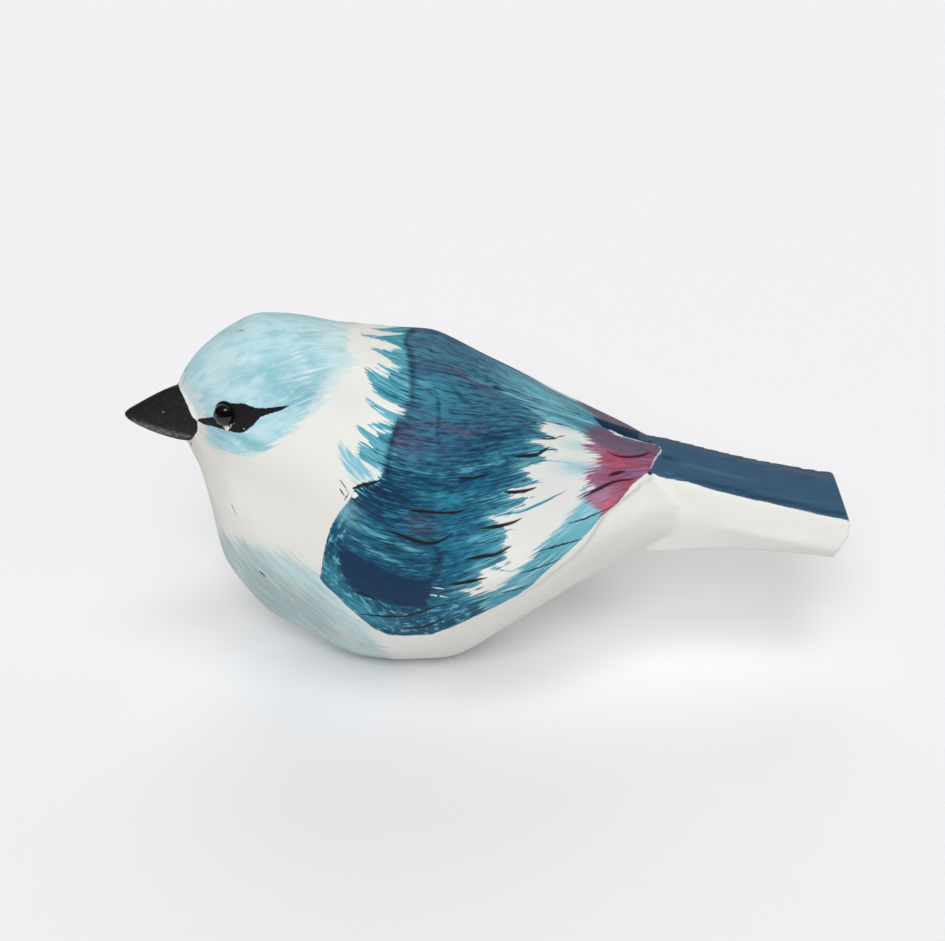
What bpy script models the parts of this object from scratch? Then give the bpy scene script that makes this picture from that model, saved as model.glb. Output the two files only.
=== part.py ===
"""A small songbird whittled from one block of wood, with glass bead eyes. It rests on its flat belly.

Metres, +Z up. The beak points to -X, the tail to +X, and the bird is the same on both sides of Y = 0.
"""
import math
import random

import bpy
import bmesh
import numpy as np
from mathutils import Vector

# Driving dimensions
LENGTH = 0.105  # beak tip to tail end
HEIGHT = 0.054  # table to crown
WIDTH = 0.0436  # across the wings
EYE_DIAMETER = 0.0032
EYE_PROUD = 0.0014  # how far a bead stands out of the head
CLEARANCE = 0.0003  # between a bead and its socket
WING_STEP = 0.0007  # how far the wing tips stand proud of the rump
WING_STEP_REACH = 0.024  # length over which a wing rises to its tip
WING_GROOVE = 0.0011  # half width of the groove between the wings
EDGE_WALL = 0.0003  # run of the step at a wing's edge
FACET_PITCH = 0.0080  # between the middles of knife cuts
FACET_DEPTH = 0.00036  # a knife cut's depth at its middle
BELLY_BAND = 0.0008  # height above the flat that stays free of knife cuts
TAIL_BEVEL = 0.00025
TAIL_BEVEL_ANGLE = math.radians(40)  # the tail's edges that turn by more than this are bevelled
EYE_ALONG = 0.145  # share of the length behind the beak tip
EYE_ANGLE = math.radians(61.5)  # round the head, from the crown
CREASE_ANGLE = math.radians(24)  # edges that turn by more than this are shaded sharp

# Sampling of the skin and the beads
RINGS_TO_EDGE = 44
RINGS_BEHIND = 11
RING_POINTS = 27
RING_CROWDING = 1.25  # over 1, the rings sit closer together towards the face
BEAD_SEGMENTS = 28
BEAD_RINGS = 16
FACET_SEED = 7
PATCH_STEP = 0.002  # half the width of the patch that gives the skin's direction at an eye
MERGE_DISTANCE = 0.000001

# Roundness of the body's sections, 1 for an ellipse: under it is fuller, over it is leaner
BACK_POWER = 0.94
BREAST_POWER = 1.0
BELLY_POWER = 1.25
BELLY_FROM = 0.30  # shares of the length between which the breast turns into the belly
BELLY_TO = 0.44
BEAK_POWER = 0.97

# Rows from face to rump: share of the length, then top, widest line and bottom as shares of the
# height, then half width as a share of the whole half width.
BODY_ROWS = (
    (0.073, 0.807, 0.740, 0.675, 0.05),
    (0.086, 0.858, 0.725, 0.608, 0.13),
    (0.103, 0.902, 0.700, 0.520, 0.22),
    (0.123, 0.938, 0.675, 0.298, 0.34),
    (0.143, 0.966, 0.640, 0.232, 0.45),
    (0.190, 1.006, 0.585, 0.122, 0.575),
    (0.248, 0.996, 0.530, 0.060, 0.68),
    (0.305, 0.970, 0.490, 0.002, 0.785),
    (0.362, 0.950, 0.465, -0.022, 0.90),
    (0.429, 0.930, 0.455, -0.026, 0.99),
    (0.462, 0.897, 0.453, -0.009, 1.00),
    (0.495, 0.856, 0.452, 0.036, 1.00),
    (0.571, 0.768, 0.460, 0.152, 0.91),
    (0.648, 0.678, 0.490, 0.243, 0.71),
    (0.705, 0.624, 0.500, 0.300, 0.51),
    (0.750, 0.575, 0.485, 0.333, 0.36),
    (0.790, 0.520, 0.460, 0.370, 0.27),
    (0.830, 0.470, 0.440, 0.400, 0.18),
)
# Rows of the wing's rear edge: degrees round the body from the back, then share of the length.
# Its step has its full height down to the first angle below, and has run out at the second.
WING_EDGE_ROWS = (
    (0, 0.731), (10, 0.740), (40, 0.720), (57, 0.690), (72, 0.649), (84, 0.632),
    (96, 0.594), (106, 0.556), (125, 0.500), (180, 0.480),
)
FULL_STEP_ANGLE = math.radians(92)
NO_STEP_ANGLE = math.radians(118)

# Rows from tip to root: share of the length, then top and bottom as shares of the height, and half
# width as a share of the whole half width. The angles run from the ridge to each long edge.
BEAK_ROWS = (
    (0.000, 0.732, 0.720, 0.025),
    (0.005, 0.740, 0.711, 0.060),
    (0.020, 0.756, 0.693, 0.100),
    (0.047, 0.788, 0.667, 0.150),
    (0.077, 0.808, 0.649, 0.195),
    (0.106, 0.812, 0.650, 0.215),
)
BEAK_ANGLES = tuple(math.radians(angle) for angle in (0, 24, 58, 92, 132, 180))

# Rows from root to end: share of the length, then top, side edge and underside as shares of the
# height, and half width as a share of the whole half width
TAIL_ROWS = (
    (0.650, 0.668, 0.520, 0.400, 0.250),
    (0.724, 0.597, 0.466, 0.322, 0.287),
    (0.762, 0.578, 0.458, 0.331, 0.308),
    (0.810, 0.549, 0.436, 0.337, 0.312),
    (0.860, 0.524, 0.412, 0.336, 0.303),
    (0.950, 0.480, 0.374, 0.318, 0.327),
    (0.987, 0.465, 0.361, 0.309, 0.345),
    (1.000, 0.460, 0.412, 0.385, 0.351),
)
TAIL_SOLE = 0.62  # half width of the tail's underside, as a share of its own half width

PAINT_WHITE = (0.80, 0.79, 0.76)
PAINT_ROUGHNESS = 0.55
GLASS_BLACK = (0.012, 0.012, 0.014)
GLASS_ROUGHNESS = 0.08


def clear_scene():
    for item in list(bpy.data.objects):
        bpy.data.objects.remove(item, do_unlink=True)


def make_collection(name):
    collection = bpy.data.collections.new(name)
    bpy.context.scene.collection.children.link(collection)
    return collection


def make_material(name, colour, roughness):
    material = bpy.data.materials.new(name)
    material.use_nodes = True
    shader = material.node_tree.nodes["Principled BSDF"]
    shader.inputs["Base Color"].default_value = (*colour, 1.0)
    shader.inputs["Roughness"].default_value = roughness
    shader.inputs["Metallic"].default_value = 0.0
    return material


def curve_through(knots, values):
    """A smooth curve through the points that never overshoots them, as a function."""
    x, y = np.asarray(knots, float), np.asarray(values, float)
    step = np.diff(x)
    slope = np.diff(y) / step
    tangent = np.zeros(len(x))
    tangent[0], tangent[-1] = slope[0], slope[-1]
    for i in range(1, len(x) - 1):
        if slope[i - 1] * slope[i] > 0:
            before, after = step[i - 1], step[i]
            weights = (2 * after + before, after + 2 * before)
            tangent[i] = sum(weights) / (weights[0] / slope[i - 1] + weights[1] / slope[i])

    def evaluate(at):
        at = np.clip(at, x[0], x[-1])
        i = np.clip(np.searchsorted(x, at) - 1, 0, len(step) - 1)
        s = (at - x[i]) / step[i]
        return (
            y[i] * (1 + 2 * s) * (1 - s) ** 2
            + y[i + 1] * s * s * (3 - 2 * s)
            + step[i] * s * (1 - s) * ((1 - s) * tangent[i] - s * tangent[i + 1])
        )

    return evaluate


def smoothstep(value):
    value = np.clip(value, 0.0, 1.0)
    return value * value * (3 - 2 * value)


def columns_of(rows):
    return np.array(rows, float).T


def section(angle, top, middle, bottom, half, upper_power, lower_power):
    """Sideways and upward place on a rounded section, at an angle from its top."""
    cosine, sine = np.cos(angle), np.sin(angle)
    rise = np.where(cosine > 0, top - middle, middle - bottom)
    power = np.where(cosine > 0, upper_power, lower_power)
    side = -half * np.abs(sine) ** power
    height = middle + np.sign(cosine) * rise * np.abs(cosine) ** power
    return side, height


def body_skin(along, angle):
    """Points on the near side of the bare body, without knife cuts or wing steps."""
    knots, top, middle, bottom, half = columns_of(BODY_ROWS)
    leaner = smoothstep((along - BELLY_FROM) / (BELLY_TO - BELLY_FROM))
    side, height = section(
        angle,
        curve_through(knots, top)(along) * HEIGHT,
        curve_through(knots, middle)(along) * HEIGHT,
        curve_through(knots, bottom)(along) * HEIGHT,
        curve_through(knots, half)(along) * WIDTH / 2,
        BACK_POWER,
        BREAST_POWER + (BELLY_POWER - BREAST_POWER) * leaner,
    )
    return np.stack([(along - 0.5) * LENGTH, side, height], -1)


def skin_normals(points):
    """Outward unit normals of a grid of points."""
    down_ring, along_body = np.gradient(points, axis=1), np.gradient(points, axis=0)
    normals = np.cross(along_body, down_ring)
    normals /= np.linalg.norm(normals, axis=-1, keepdims=True) + 1e-12
    normals[:, (0, -1), 1] = 0.0
    centre = points.mean(axis=1, keepdims=True)
    if ((points - centre) * normals).sum() < 0:
        normals = -normals
    return normals


def wing_edge(angle):
    degrees, along = columns_of(WING_EDGE_ROWS)
    return curve_through(degrees, along)(np.degrees(angle))


def ring_layout():
    """Rings that lean with the wing's rear edge, so that two of them follow it exactly."""
    angle = np.linspace(0, math.pi, RING_POINTS)
    edge, face, rump = wing_edge(angle), BODY_ROWS[0][0], BODY_ROWS[-1][0]
    before = np.linspace(0, 1, RINGS_TO_EDGE) ** RING_CROWDING
    behind = np.linspace(0, 1, RINGS_BEHIND)
    foot = edge + EDGE_WALL / LENGTH
    rows = [face + (edge - face) * share for share in before]
    rows += [foot + (rump - foot) * share for share in behind]
    along = np.array(rows)
    return along, np.broadcast_to(angle, along.shape)


def cut_facets(points, normals):
    """Flattens patches of the skin, as strokes of a knife leave them."""
    bare = points.copy()
    order = [divmod(k, RING_POINTS) for k in range(points.shape[0] * RING_POINTS)]
    random.Random(FACET_SEED).shuffle(order)
    middles = np.empty((0, 3))
    for index in order:
        middle = bare[index]
        if middle[2] < BELLY_BAND:
            continue
        if len(middles) and np.linalg.norm(middles - middle, axis=1).min() < FACET_PITCH:
            continue
        middles = np.vstack([middles, middle])
        normal = normals[index]
        over = np.clip((points - middle) @ normal + FACET_DEPTH, 0.0, FACET_DEPTH)
        distance = np.linalg.norm(bare - middle, axis=-1)
        cut = over * smoothstep(2 - distance / FACET_PITCH) * (bare[..., 2] > BELLY_BAND)
        points -= cut[..., None] * normal


def wing_rise(along, angle, points):
    """How far each point of the wing stands proud of the bare body."""
    ahead = (wing_edge(angle) - along) * LENGTH
    rise = np.where(ahead > -EDGE_WALL / 2, smoothstep(1 - ahead / WING_STEP_REACH), 0.0)
    round_body = (NO_STEP_ANGLE - angle) / (NO_STEP_ANGLE - FULL_STEP_ANGLE)
    groove = smoothstep(-points[..., 1] / WING_GROOVE)
    return WING_STEP * rise * smoothstep(round_body) * groove


def mirrored_loft(name, points, collection):
    """A closed solid from rings of points on the near side, mirrored to the far side."""
    mesh = bpy.data.meshes.new(name)
    shape = bmesh.new()
    rings = [[shape.verts.new(point) for point in ring] for ring in points]
    for ring, following in zip(rings, rings[1:]):
        for k in range(len(ring) - 1):
            shape.faces.new((ring[k], ring[k + 1], following[k + 1], following[k]))
    shape.faces.new(rings[0][::-1])
    shape.faces.new(rings[-1])
    bmesh.ops.remove_doubles(shape, verts=shape.verts, dist=MERGE_DISTANCE)
    bmesh.ops.triangulate(shape, faces=shape.faces, quad_method="SHORT_EDGE")
    shape.to_mesh(mesh)
    shape.free()
    loft = bpy.data.objects.new(name, mesh)
    collection.objects.link(loft)
    mirror = loft.modifiers.new("Far side", "MIRROR")
    mirror.use_axis = (False, True, False)
    mirror.use_clip = True
    mirror.merge_threshold = 0.00001
    return loft


def as_cutter(item):
    item.hide_render = True
    item.display_type = "WIRE"
    return item


def boolean(target, cutter, operation):
    modifier = target.modifiers.new(cutter.name, "BOOLEAN")
    modifier.operation = operation
    modifier.solver = "EXACT"
    modifier.object = cutter


def body_points():
    along, angle = ring_layout()
    points = body_skin(along, angle)
    normals = skin_normals(points)
    cut_facets(points, normals)
    points += wing_rise(along, angle, points)[..., None] * normals
    points[:, (0, -1), 1] = 0.0
    points[..., 2] = np.maximum(points[..., 2], 0.0)
    return points


def beak_points():
    angle = np.array(BEAK_ANGLES)
    rows = []
    for along, top, bottom, half in BEAK_ROWS:
        middle = (top + bottom) / 2 * HEIGHT
        side, height = section(
            angle, top * HEIGHT, middle, bottom * HEIGHT, half * WIDTH / 2, BEAK_POWER, BEAK_POWER
        )
        side[[0, -1]] = 0.0
        rows.append([((along - 0.5) * LENGTH, y, z) for y, z in zip(side, height)])
    return rows


def tail_points():
    rows = []
    for along, top, edge, sole, half in TAIL_ROWS:
        corners = ((0, top), (half, top), (half, edge), (half * TAIL_SOLE, sole), (0, sole))
        rows.append([((along - 0.5) * LENGTH, -y * WIDTH / 2, z * HEIGHT) for y, z in corners])
    return rows


def eye_middle(side):
    """Where a bead's middle lies, sunk into the head along the skin's normal."""
    along = np.array([[EYE_ALONG - PATCH_STEP], [EYE_ALONG], [EYE_ALONG + PATCH_STEP]])
    angle = np.array([[EYE_ANGLE - PATCH_STEP, EYE_ANGLE, EYE_ANGLE + PATCH_STEP]])
    patch = body_skin(along + 0 * angle, angle + 0 * along)
    normal = np.cross(patch[2, 1] - patch[0, 1], patch[1, 2] - patch[1, 0])
    normal /= np.linalg.norm(normal)
    if normal[1] > 0:
        normal = -normal
    middle = patch[1, 1] - normal * (EYE_DIAMETER / 2 - EYE_PROUD)
    return Vector((middle[0], middle[1] * side, middle[2]))


def make_bead(name, middle, diameter, collection):
    bpy.ops.mesh.primitive_uv_sphere_add(
        segments=BEAD_SEGMENTS, ring_count=BEAD_RINGS, radius=diameter / 2, location=middle
    )
    bead = bpy.context.active_object
    bead.name = bead.data.name = name
    for holder in list(bead.users_collection):
        holder.objects.unlink(bead)
    collection.objects.link(bead)
    bead.data.shade_smooth()
    return bead


def make_bird(parts, guides):
    body = mirrored_loft("bird_body", body_points(), parts)
    beak = as_cutter(mirrored_loft("beak_block", beak_points(), guides))
    tail = as_cutter(mirrored_loft("tail_block", tail_points(), guides))
    bevel = tail.modifiers.new("Worn edges", "BEVEL")
    bevel.width = TAIL_BEVEL
    bevel.segments = 1
    bevel.limit_method = "ANGLE"
    bevel.angle_limit = TAIL_BEVEL_ANGLE
    boolean(body, beak, "UNION")
    boolean(body, tail, "UNION")
    body.data.materials.append(make_material("painted_wood", PAINT_WHITE, PAINT_ROUGHNESS))
    body.data.shade_smooth()
    body.data.set_sharp_from_angle(angle=CREASE_ANGLE)
    glass = make_material("black_glass", GLASS_BLACK, GLASS_ROUGHNESS)
    for label, side in (("left", 1), ("right", -1)):
        middle = eye_middle(side)
        socket = make_bead(f"socket_{label}", middle, EYE_DIAMETER + 2 * CLEARANCE, guides)
        boolean(body, as_cutter(socket), "DIFFERENCE")
        bead = make_bead(f"eye_{label}", middle, EYE_DIAMETER, parts)
        bead.data.materials.append(glass)


clear_scene()
make_bird(make_collection("painted_wooden_bird"), make_collection("cutters"))
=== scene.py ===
import math
import bmesh
import bpy
import numpy as np
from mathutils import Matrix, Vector
from mathutils.bvhtree import BVHTree
from mathutils.kdtree import KDTree


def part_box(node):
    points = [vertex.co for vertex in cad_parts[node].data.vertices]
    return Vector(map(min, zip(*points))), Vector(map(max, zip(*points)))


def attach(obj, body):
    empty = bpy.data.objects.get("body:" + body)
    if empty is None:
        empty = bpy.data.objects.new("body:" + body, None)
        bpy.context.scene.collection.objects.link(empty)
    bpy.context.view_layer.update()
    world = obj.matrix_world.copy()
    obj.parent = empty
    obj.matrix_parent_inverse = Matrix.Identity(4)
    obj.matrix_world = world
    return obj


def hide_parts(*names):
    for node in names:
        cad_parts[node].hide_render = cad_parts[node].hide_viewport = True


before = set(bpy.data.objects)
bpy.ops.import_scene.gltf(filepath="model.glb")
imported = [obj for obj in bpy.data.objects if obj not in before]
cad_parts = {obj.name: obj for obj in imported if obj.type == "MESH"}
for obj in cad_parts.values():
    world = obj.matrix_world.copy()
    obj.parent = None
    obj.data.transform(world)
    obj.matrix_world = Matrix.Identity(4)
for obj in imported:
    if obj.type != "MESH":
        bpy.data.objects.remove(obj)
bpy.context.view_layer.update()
mm = 0.001  # the paint is laid out in millimetres
beads = ("eye_left", "eye_right")

# The picture's camera. Painted edges below are read off the picture, in its pixels, and laid on the wood
# by sight lines from this camera.
picture = {
    "size": (945, 941),
    "focalPixels": 2200.0,
    "azimuth": -0.93,  # degrees round from straight on to the bird's left side
    "elevation": 28.0,  # degrees above the table
    "distance": 0.323,
    "target": (-0.0023, 0.0, 0.0295),
    "sensor": 36.0,
    "nearest": 0.01,
}


def pictureAxes():
    turn, lift = math.radians(picture["azimuth"]), math.radians(picture["elevation"])
    back = Vector((math.sin(turn) * math.cos(lift), -math.cos(turn) * math.cos(lift), math.sin(lift)))
    right = Vector((math.cos(turn), math.sin(turn), 0.0))
    return right, back.cross(right), back


def putInScene(name, data):
    made = bpy.data.objects.new(name, data)
    bpy.context.scene.collection.objects.link(made)
    return made


def makeCamera():
    right, up, back = pictureAxes()
    camera = putInScene("pictureCamera", bpy.data.cameras.new("pictureCamera"))
    camera.data.sensor_width = picture["sensor"]
    camera.data.lens = picture["focalPixels"] / picture["size"][0] * picture["sensor"]
    camera.data.clip_start = picture["nearest"]
    camera.location = Vector(picture["target"]) + picture["distance"] * back
    camera.rotation_euler = (-back).to_track_quat("-Z", "Y").to_euler()
    bpy.context.scene.camera = camera


# Shader maths as expressions
class Value:
    def __init__(self, paint, link):
        self.paint, self.link = paint, link

    def maths(self, operation, *values):
        return self.paint.node("ShaderNodeMath", {"operation": operation}, dict(enumerate(values)))

    def __add__(self, other):
        return self.maths("ADD", self, other)

    def __sub__(self, other):
        return self.maths("SUBTRACT", self, other)

    def __rsub__(self, other):
        return self.maths("SUBTRACT", other, self)

    def __mul__(self, other):
        return self.maths("MULTIPLY", self, other)

    def __abs__(self):
        return self.maths("ABSOLUTE", self)

    def atLeast(self, other):
        return self.maths("MAXIMUM", self, other)

    # 0 below low, 1 above high, with an eased ramp between
    def step(self, low, high):
        return self.paint.node("ShaderNodeMapRange", {"interpolation_type": "SMOOTHSTEP"},
                               {"Value": self, "From Min": low, "From Max": high})

    __radd__ = __add__
    __rmul__ = __mul__


class Paint:
    def __init__(self, name):
        self.material = bpy.data.materials.new(name)
        self.material.use_nodes = True
        self.tree = self.material.node_tree
        self.shader = self.tree.nodes["Principled BSDF"]

    def plug(self, sockets, values):
        for name, value in values.items():
            if isinstance(value, Value):
                self.tree.links.new(value.link, sockets[name])
            else:
                sockets[name].default_value = value

    def node(self, kind, settings, values, output=0):
        made = self.tree.nodes.new(kind)
        for name, value in settings.items():
            setattr(made, name, value)
        self.plug(made.inputs, values)
        return Value(self, made.outputs[output])

    # What the mesh carries at each point: a number, a colour ("Color") or a place ("Vector")
    def carried(self, name, kind="Fac"):
        return self.node("ShaderNodeAttribute", {"attribute_name": name}, {}, kind)

    # A place on the piece, in metres
    def spot(self):
        return self.node("ShaderNodeTexCoord", {}, {}, "Object")

    # Noise around 0.5, stretched to the given lengths in the unit of the place
    def noise(self, place, lengths, detail=2.0, roughness=0.55):
        stretched = self.node("ShaderNodeVectorMath", {"operation": "MULTIPLY"},
                              {0: place, 1: tuple(1 / length for length in lengths)})
        return self.node("ShaderNodeTexNoise", {"noise_dimensions": "3D"},
                         {"Vector": stretched, "Scale": 1.0, "Detail": detail, "Roughness": roughness})

    # A colour is a link, four numbers or the name of a tone; the Mix node's colours are inputs 6 and 7
    def mix(self, share, under, over):
        under, over = (tone(colour) if isinstance(colour, str) else colour for colour in (under, over))
        return self.node("ShaderNodeMix", {"data_type": "RGBA"}, {0: share, 6: under, 7: over}, 2)

    # Lays colours over one another, each with its share
    def layered(self, colour, *layers):
        for share, over in layers:
            colour = self.mix(share, colour, over)
        return colour

    # A colour made lighter or darker
    def lit(self, colour, factor):
        return self.node("ShaderNodeVectorMath", {"operation": "SCALE"}, {0: colour, "Scale": factor})

    def finish(self, values):
        self.plug(self.shader.inputs, values)


# A tone on screen as the light that it sends back
def linear(shown):
    return tuple((c / 255 / 12.92) if c <= 10 else ((c / 255 + 0.055) / 1.055) ** 2.4 for c in shown)


def opaque(shown):
    return (*linear(shown), 1.0)


# Light and floor
studio = {
    "floorHalf": 3.0,
    "farFloor": (230, 230, 233),
    "shadedNearFloor": (228, 228, 229),
    "floorTurns": (-0.12, 0.06),  # how far back the near tone ends and the far tone begins; the darker near tone is painted shade where the light falls off
    "floorRoughness": 0.9,
    "floorShine": 0.1,
    "skyStrength": 0.24,
    "skyColour": (1.02, 1.0, 0.92, 1.0),  # a little warm, so that the shadows are
    "mirrored": ("highLight", "sideLight"),  # the lights that the black glass mirrors
    # for each soft light: where it comes from, its strength, its spread in degrees, its colour
    "lights": {
        "keyLight": ((-0.10, -0.784, 0.612), 1.76, 28.0, (0.99, 1.0, 1.03)),
        "upperLight": ((-0.10, -0.49, 0.866), 0.84, 40.0, (1.0, 1.0, 1.0)),
        "backLight": ((0.0, 0.819, 0.574), 0.70, 40.0, (1.0, 0.99, 0.96)),
        "lowLight": ((0.64, -0.76, 0.12), 0.38, 50.0, (1.0, 1.0, 0.97)),
        "highLight": ((0.13, -0.18, 0.99), 0.46, 20.0, (1.0, 1.0, 1.0)),
        "sideLight": ((0.874, 0.44, 0.204), 0.32, 16.0, (1.0, 0.99, 0.97)),
    },
}


def makeFloor():
    half = studio["floorHalf"]
    corners = [(-half, -half, 0), (half, -half, 0), (half, half, 0), (-half, half, 0)]
    mesh = bpy.data.meshes.new("studioFloor")
    mesh.from_pydata(corners, [], [(0, 1, 2, 3)])
    floor = putInScene("studioFloor", mesh)
    paper = Paint("studioPaper")
    # the floor's tone darkens towards the camera: painted shade where the light falls off
    depth = paper.node("ShaderNodeSeparateXYZ", {}, {0: paper.spot()}, "Y").step(*studio["floorTurns"])
    colour = paper.mix(depth, opaque(studio["shadedNearFloor"]), opaque(studio["farFloor"]))
    paper.finish({"Base Color": colour, "Roughness": studio["floorRoughness"],
                  "Specular IOR Level": studio["floorShine"]})
    mesh.materials.append(paper.material)


def makeLights():
    for name, (comesFrom, strength, spread, colour) in studio["lights"].items():
        light = putInScene(name, bpy.data.lights.new(name, "SUN"))
        light.data.energy = strength
        light.data.angle = math.radians(spread)
        light.data.color = colour
        light.rotation_euler = Vector(comesFrom).to_track_quat("Z", "Y").to_euler()
        light.visible_glossy = name in studio["mirrored"]
    sky = bpy.data.worlds.new("studioSky")
    sky.use_nodes = True
    background = sky.node_tree.nodes["Background"]
    background.inputs["Color"].default_value = studio["skyColour"]
    background.inputs["Strength"].default_value = studio["skyStrength"]
    bpy.context.scene.world = sky
    sky.cycles_visibility.glossy = False  # dark paint and glass mirror the lights alone
    bpy.context.scene.view_settings.view_transform = "Standard"


# The carved body, in metres and degrees
carving = {
    "mergeReach": 0.000002,
    "flatTogether": 12.0,  # triangles that turn less than this are joined into one face
    "squareWithin": 50.0,
    "creaseAngle": 26.0,  # edges of the solid that turn more than this stay crisp
    "softening": 2,  # rounds of subdivision that round the others
    "voxel": 0.00053,
    "crispAngle": 45.0,  # edges that turn more than this are drawn sharp again in the skin
    "creaseReach": 0.00031,  # the skin's corners this near to a crisp edge are drawn onto it
    "creaseStep": 0.0001,
    "sanding": 4,  # rounds of smoothing that ease the sharp edges
    "sandingShare": 0.5,
    "beadReach": 0.0011,  # wood this near a bead is drawn in under it
    "beadHug": 0.4,  # share of that reach where the wood lies against the bead
    "beadSink": 0.00015,
    "rimReach": 0.00035,  # breadth of the black paint round a bead
}


def turnsPast(edge, degrees):
    return len(edge.link_faces) == 2 and edge.calc_face_angle() > math.radians(degrees)


# The body as its modifiers leave it, as a plain mesh
def asModified(body):
    return bpy.data.meshes.new_from_object(body.evaluated_get(bpy.context.evaluated_depsgraph_get()))


def applyModifiers(body):
    mesh = asModified(body)
    body.modifiers.clear()
    body.data = mesh


def carveBody():
    body = putInScene("carvedBird", bpy.data.meshes.new("carvedBird"))
    shape = bmesh.new()
    shape.from_mesh(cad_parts["bird_body"].data)
    bmesh.ops.remove_doubles(shape, verts=shape.verts, dist=carving["mergeReach"])
    bmesh.ops.join_triangles(shape, faces=shape.faces,
                             angle_face_threshold=math.radians(carving["flatTogether"]),
                             angle_shape_threshold=math.radians(carving["squareWithin"]))
    crease = shape.edges.layers.float.new("crease_edge")
    for edge in shape.edges:
        if turnsPast(edge, carving["creaseAngle"]):
            edge[crease] = 1.0
    shape.to_mesh(body.data)
    shape.free()
    softening = body.modifiers.new("softening", "SUBSURF")
    softening.levels = softening.render_levels = carving["softening"]
    soft = asModified(body)
    skin = body.modifiers.new("skin", "REMESH")
    skin.mode = "VOXEL"
    skin.voxel_size = carving["voxel"]
    applyModifiers(body)
    points = cornersOf(body.data)
    faces, creases = sightTree(soft), creasesOf(soft)
    for index, point in enumerate(points):
        place = faces.find_nearest(Vector(point))[0]
        crisp, _, away = creases.find(place)
        points[index] = crisp if away < carving["creaseReach"] else place
    setCorners(body.data, points)
    sanding = body.modifiers.new("sanding", "SMOOTH")
    sanding.factor = carving["sandingShare"]
    sanding.iterations = carving["sanding"]
    applyModifiers(body)
    body.data.name = "carvedBird"
    return body


# Places along the edges that stay crisp
def creasesOf(mesh):
    shape = bmesh.new()
    shape.from_mesh(mesh)
    places = []
    for edge in shape.edges:
        if turnsPast(edge, carving["crispAngle"]):
            start, end = (corner.co for corner in edge.verts)
            count = math.ceil(edge.calc_length() / carving["creaseStep"])
            places += [start.lerp(end, (step + 0.5) / count) for step in range(count)]
    shape.free()
    return nearnessTree(places)


def nearnessTree(places):
    tree = KDTree(len(places))
    for index, place in enumerate(places):
        tree.insert(place, index)
    tree.balance()
    return tree


def sightTree(mesh):
    mesh.calc_loop_triangles()
    corners = [tuple(corner.co) for corner in mesh.vertices]
    return BVHTree.FromPolygons(corners, [tuple(face.vertices) for face in mesh.loop_triangles])


def cornersOf(mesh):
    points = np.empty(len(mesh.vertices) * 3, np.float32)
    mesh.vertices.foreach_get("co", points)
    return points.reshape(-1, 3).astype(float)


def setCorners(mesh, points):
    mesh.vertices.foreach_set("co", points.astype(np.float32).ravel())
    mesh.update()


def beadOf(name):
    low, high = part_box(name)
    return np.array((low + high) / 2), (high - low).x / 2


# Draws the wood in under each bead, so that no gap shows round it
def closeSockets(body):
    points = cornersOf(body.data)
    for name in beads:
        middle, radius = beadOf(name)
        away = points - middle
        distance = np.linalg.norm(away, axis=1)
        low, high = radius - carving["beadSink"], radius + carving["beadReach"]
        near = distance < high
        reach, hug, was = carving["beadReach"], carving["beadHug"], distance[near]
        drawn = low + np.maximum(was - radius - hug * reach, 0) / (1 - hug) * (high - low) / reach
        points[near] = middle + away[near] / was[:, None] * np.minimum(drawn, was)[:, None]
    setCorners(body.data, points)


# Splits the faces near the given places, on both sides alike
def refine(body, places, reach):
    tree = nearnessTree(places)
    shape = bmesh.new()
    shape.from_mesh(body.data)
    edges = set()
    for face in shape.faces:
        middle = face.calc_center_median()
        if min(tree.find((middle.x, y, middle.z))[2] for y in (middle.y, -abs(middle.y))) < reach:
            edges.update(face.edges)
    bmesh.ops.subdivide_edges(shape, edges=list(edges), cuts=1, use_grid_fill=True)
    shape.to_mesh(body.data)
    shape.free()


# The paint map: millimetres back from the beak tip, and degrees down from the back counted as millimetres.
# The far side's degrees are negative.
paintMap = {
    "beakTip": 52.5,  # millimetres ahead of the bird's middle
    "roundScale": 0.35,  # millimetres for one degree round the body
    # height of the middle line through the bird, by distance from the beak tip
    "middleLine": ((0, 39.2), (8, 40.0), (13, 36.5), (20, 31.6), (32, 26.5), (45, 24.6), (60, 24.8),
                   (75, 26.2), (85, 24.5), (105, 21.5)),
    # The far side is painted as a mirror image of the near side. The line between them runs along the back,
    # and leans to the far side between the wings: millimetres from the beak tip, degrees.
    "parting": ((0, 0), (48, 0), (56, -6), (64, -11), (70, -13), (74, -20), (79, -24), (84, 0), (105, 0)),
    "farShift": 60.0,  # moves the far side's noise, so that its brush marks aren't the near side's
}


def middleHeight(along):
    return np.interp(along, *np.array(paintMap["middleLine"]).T)


def onMap(points):
    along = points[:, 0] / mm + paintMap["beakTip"]
    rise = points[:, 2] / mm - middleHeight(along)
    turn = np.degrees(np.arctan2(-points[:, 1] / mm, rise))
    return np.stack([along, turn * paintMap["roundScale"]], 1)


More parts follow.
